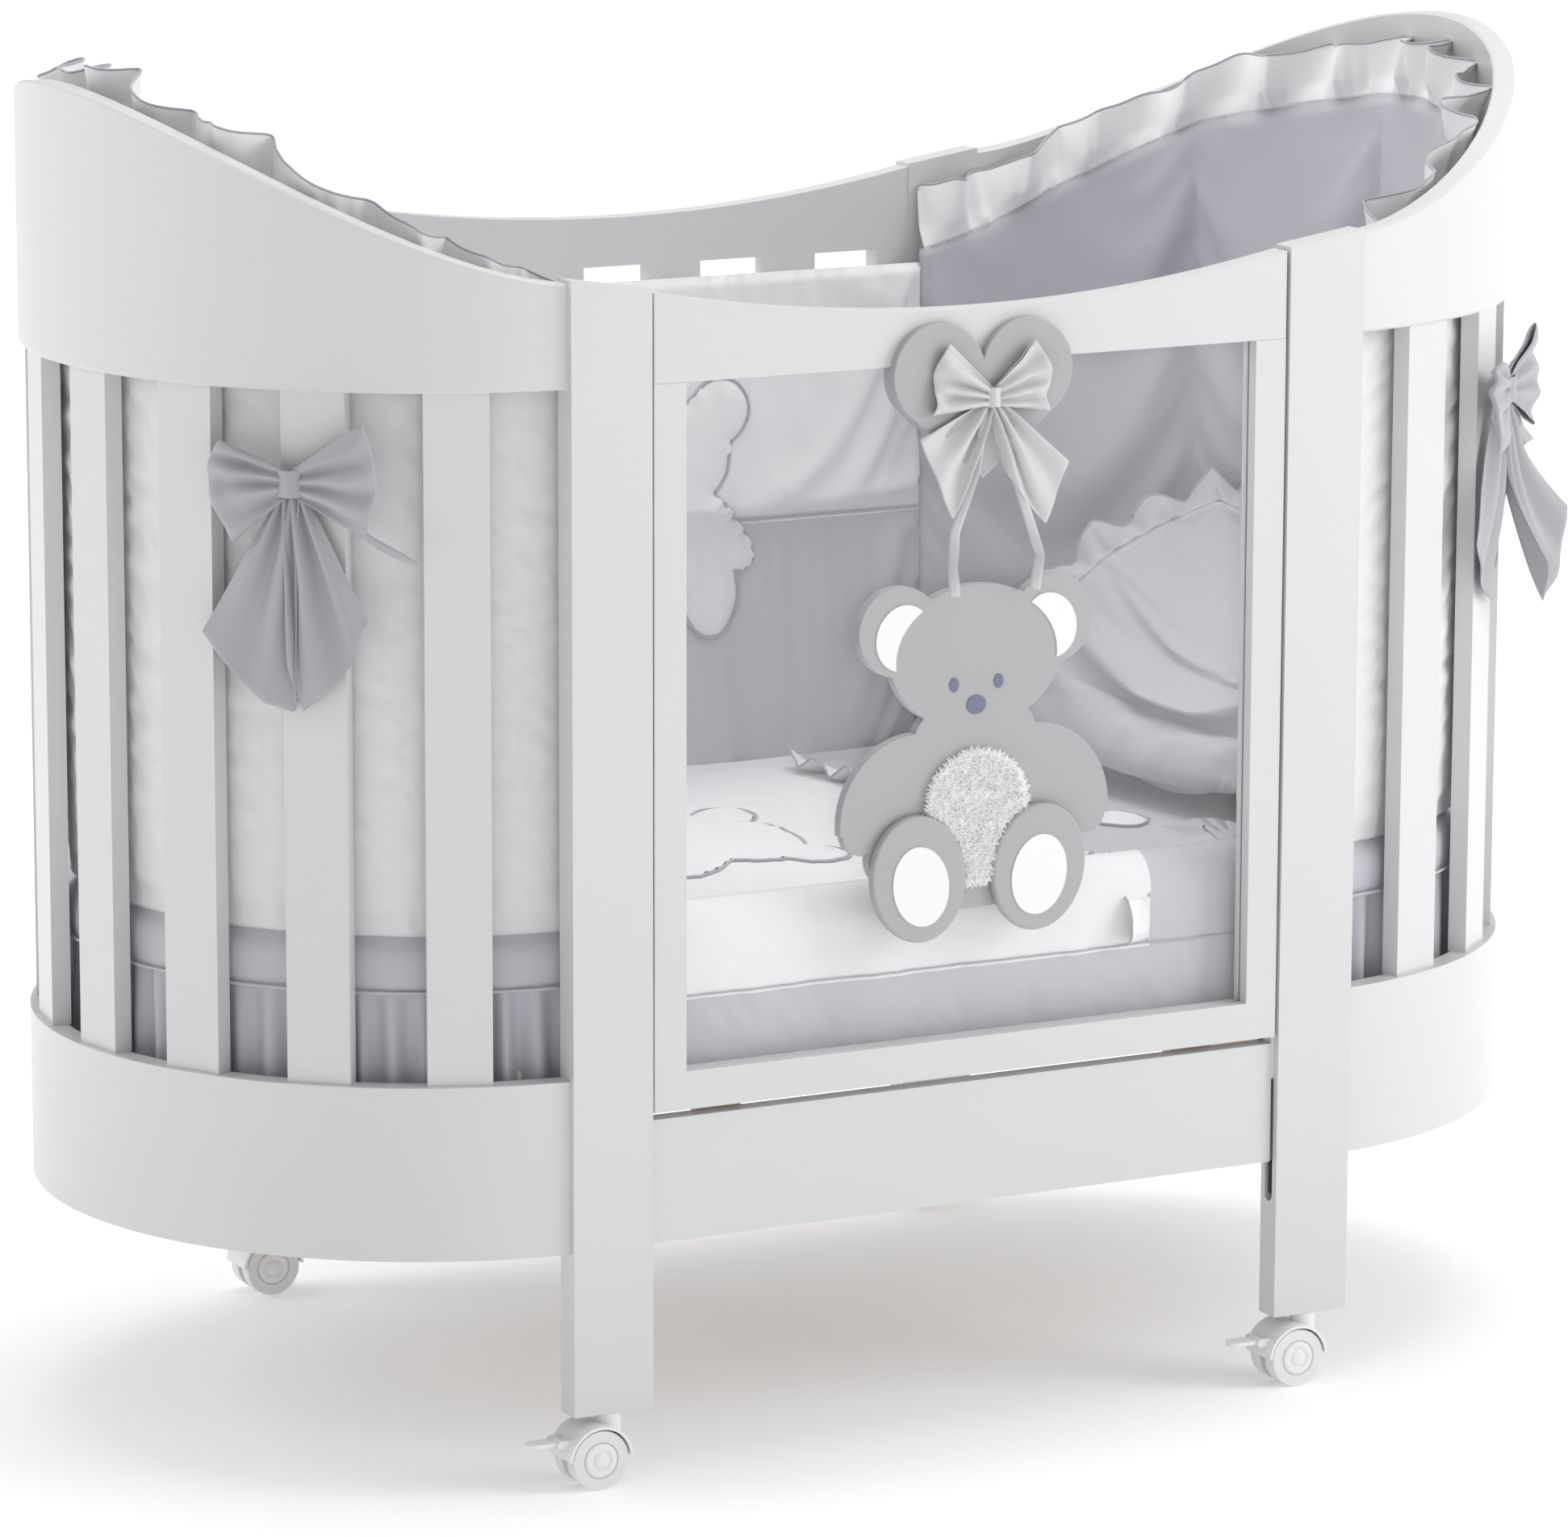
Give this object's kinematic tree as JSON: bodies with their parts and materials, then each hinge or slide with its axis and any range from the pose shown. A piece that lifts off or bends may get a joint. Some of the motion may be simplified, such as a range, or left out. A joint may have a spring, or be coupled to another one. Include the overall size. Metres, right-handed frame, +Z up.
{
  "type": "baby crib",
  "caption": "Oval baby crib on casters, with bowed slatted ends, a clear-pane side that slides down, and padded bedding.",
  "frame": {"origin": "on the floor under the middle of the crib", "axes": "+X towards the head end along the crib, -Y towards the dropping front side, +Z up"},
  "size_m": [1.3538, 0.716, 1.137],
  "materials": {
    "white_lacquer": "satin lacquer",
    "raw_wood": "planed, uncoated",
    "steel": "zinc plated",
    "rubber": "matte",
    "mattress_cover": "woven ticking",
    "white_cotton": "fine ribbed cotton",
    "grey_cotton": "fine ribbed cotton",
    "white_satin": "satin",
    "clear_acrylic": "clear polished",
    "white_plastic": "moulded",
    "wheel_plastic": "moulded",
    "grey_lacquer": "satin lacquer",
    "white_inlay": "satin lacquer",
    "slate_inlay": "satin lacquer",
    "white_plush": "long pile"
  },
  "bodies": {
    "crib": {"post_front_foot": "white_lacquer", "post_front_head": "white_lacquer", "post_back_foot": "white_lacquer", "post_back_head": "white_lacquer", "rim_board_foot": "white_lacquer", "rim_board_head": "white_lacquer", "low_board_foot": "white_lacquer", "low_board_head": "white_lacquer", "slats_foot": "white_lacquer", "slats_head": "white_lacquer", "back_top_rail": "white_lacquer", "back_low_board": "white_lacquer", "back_stiles": "white_lacquer", "back_slats": "white_lacquer", "dowels": "raw_wood", "deck": "raw_wood", "cross_rails": "raw_wood", "long_rails": "raw_wood", "deck_brackets": "steel", "drop_stops": "rubber", "mattress": "mattress_cover", "duvet": "white_cotton", "pillow": "grey_cotton", "bumper_back": "white_cotton", "bumper_foot": "grey_cotton", "bumper_head": "grey_cotton", "valance_foot": "grey_cotton", "valance_head": "grey_cotton", "bow_foot": "grey_cotton", "bow_head": "grey_cotton", "caster_sockets": "steel"},
    "drop_side": {"gate_top_rail": "white_lacquer", "gate_bottom_rail": "white_lacquer", "gate_stiles": "white_lacquer", "gate_dowels": "raw_wood", "gate_pane": "clear_acrylic", "pane_beads": "white_lacquer", "front_apron": "white_lacquer", "apron_battens": "raw_wood", "guide_shoes": "white_plastic", "guide_pins": "steel", "shoe_screws": "steel", "heart": "grey_lacquer", "heart_spacer": "grey_lacquer", "heart_bow": "white_satin", "bear": "grey_lacquer", "bear_feet": "grey_lacquer", "bear_inlays": "white_inlay", "bear_face": "slate_inlay", "bear_belly": "white_plush"},
    "swivel_front_foot": {"caster_front_foot": "white_plastic"},
    "wheel_pair_front_foot": {"wheels_front_foot": "wheel_plastic"},
    "brake_front_foot": {"pedal_front_foot": "white_plastic"},
    "swivel_front_head": {"caster_front_head": "white_plastic"},
    "wheel_pair_front_head": {"wheels_front_head": "wheel_plastic"},
    "brake_front_head": {"pedal_front_head": "white_plastic"},
    "swivel_back_foot": {"caster_back_foot": "white_plastic"},
    "wheel_pair_back_foot": {"wheels_back_foot": "wheel_plastic"},
    "swivel_back_head": {"caster_back_head": "white_plastic"},
    "wheel_pair_back_head": {"wheels_back_head": "wheel_plastic"}
  },
  "joints": [
    {"name": "drop_side_slide", "type": "slide", "parent": "crib", "child": "drop_side", "axis": [0, 0, -1], "range_m": [0, 0.07]},
    {"name": "swivel_front_foot_turn", "type": "hinge", "parent": "crib", "child": "swivel_front_foot", "pos_m": [-0.334, -0.3345, 0.05], "axis": [0, 0, 1], "continuous": true},
    {"name": "wheels_front_foot_roll", "type": "hinge", "parent": "swivel_front_foot", "child": "wheel_pair_front_foot", "pos_m": [-0.349, -0.3345, 0.025], "axis": [0, 1, 0], "continuous": true},
    {"name": "brake_front_foot_press", "type": "hinge", "parent": "swivel_front_foot", "child": "brake_front_foot", "pos_m": [-0.381, -0.3345, 0.04], "axis": [0, -1, 0], "range_deg": [0, 14]},
    {"name": "swivel_front_head_turn", "type": "hinge", "parent": "crib", "child": "swivel_front_head", "pos_m": [0.334, -0.3345, 0.05], "axis": [0, 0, 1], "continuous": true},
    {"name": "wheels_front_head_roll", "type": "hinge", "parent": "swivel_front_head", "child": "wheel_pair_front_head", "pos_m": [0.319, -0.3345, 0.025], "axis": [0, 1, 0], "continuous": true},
    {"name": "brake_front_head_press", "type": "hinge", "parent": "swivel_front_head", "child": "brake_front_head", "pos_m": [0.287, -0.3345, 0.04], "axis": [0, -1, 0], "range_deg": [0, 14]},
    {"name": "swivel_back_foot_turn", "type": "hinge", "parent": "crib", "child": "swivel_back_foot", "pos_m": [-0.334, 0.3345, 0.05], "axis": [0, 0, 1], "continuous": true},
    {"name": "wheels_back_foot_roll", "type": "hinge", "parent": "swivel_back_foot", "child": "wheel_pair_back_foot", "pos_m": [-0.349, 0.3345, 0.025], "axis": [0, 1, 0], "continuous": true},
    {"name": "swivel_back_head_turn", "type": "hinge", "parent": "crib", "child": "swivel_back_head", "pos_m": [0.334, 0.3345, 0.05], "axis": [0, 0, 1], "continuous": true},
    {"name": "wheels_back_head_roll", "type": "hinge", "parent": "swivel_back_head", "child": "wheel_pair_back_head", "pos_m": [0.319, 0.3345, 0.025], "axis": [0, 1, 0], "continuous": true}
  ]
}
